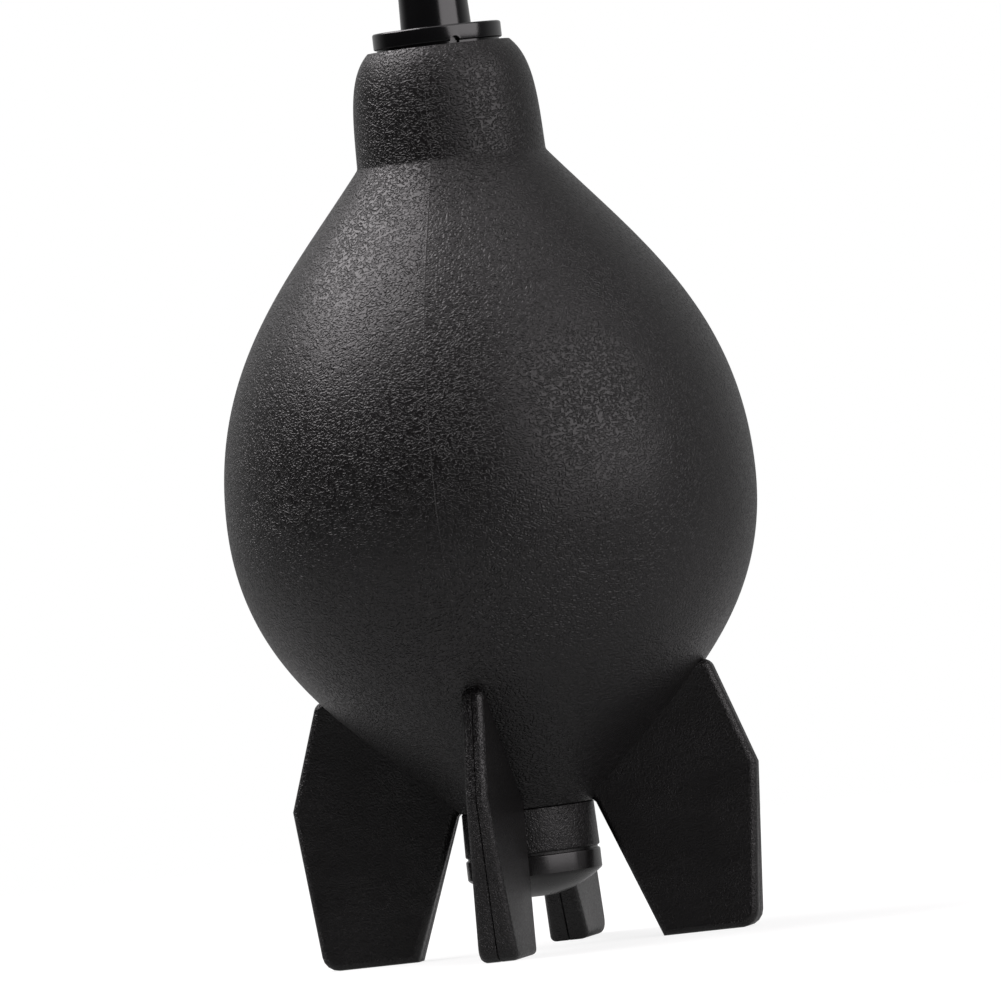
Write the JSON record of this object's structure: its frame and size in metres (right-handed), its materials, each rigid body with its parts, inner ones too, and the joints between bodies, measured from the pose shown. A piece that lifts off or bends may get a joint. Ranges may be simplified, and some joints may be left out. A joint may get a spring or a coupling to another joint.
{
  "type": "rubber bulb air blower",
  "caption": "Hand air blower: a hollow rubber bulb on fins, with walls that press in, a push-in nozzle in the neck and one-way valves in the tail and the nozzle.",
  "frame": {"origin": "on the bulb's axis, at the height of the fins' feet, where the blower stands", "axes": "+Z along the axis towards the nozzle's tip, -Y towards the front fin, +X towards the right fin"},
  "size_m": [0.07, 0.07, 0.172],
  "materials": {
    "grained_rubber": "leather-grain moulded, satin",
    "matt_rubber": "fine spark-grain moulded, matt",
    "gloss_plastic": "high gloss moulded",
    "clear_silicone": "smooth, milky",
    "white_acetal": "smooth moulded"
  },
  "bodies": {
    "bulb": {"bulb_shell": "grained_rubber", "fin_front": "matt_rubber", "fin_right": "matt_rubber", "fin_rear": "matt_rubber", "fin_left": "matt_rubber", "tail_valve_body": "gloss_plastic", "inlet_valve_cage": "white_acetal"},
    "thumb_side": {"thumb_wall": "grained_rubber"},
    "finger_side": {"finger_wall": "grained_rubber"},
    "inlet_disc": {"inlet_valve_disc": "clear_silicone"},
    "nozzle": {"nozzle": "gloss_plastic", "outlet_valve_seat": "white_acetal", "outlet_valve_cage": "white_acetal"},
    "outlet_disc": {"outlet_valve_disc": "clear_silicone"}
  },
  "joints": [
    {"name": "thumb_press", "type": "slide", "parent": "bulb", "child": "thumb_side", "axis": [-0.342, 0.9397, 0], "range_m": [0, 0.02], "stiffness_N_per_m": 1300},
    {"name": "finger_press", "type": "slide", "parent": "bulb", "child": "finger_side", "axis": [0.342, -0.9397, 0], "range_m": [0, 0.012], "stiffness_N_per_m": 1300},
    {"name": "inlet_valve_lift", "type": "slide", "parent": "bulb", "child": "inlet_disc", "axis": [0, 0, 1], "range_m": [0, 0.0012]},
    {"name": "nozzle_pull", "type": "slide", "parent": "bulb", "child": "nozzle", "axis": [0, 0, 1], "range_m": [0, 0.016]},
    {"name": "outlet_valve_lift", "type": "slide", "parent": "nozzle", "child": "outlet_disc", "axis": [0, 0, 1], "range_m": [0, 0.001]}
  ],
  "couplings": [
    {"joint": "finger_press", "follows": "thumb_press", "ratio": 0.6}
  ]
}
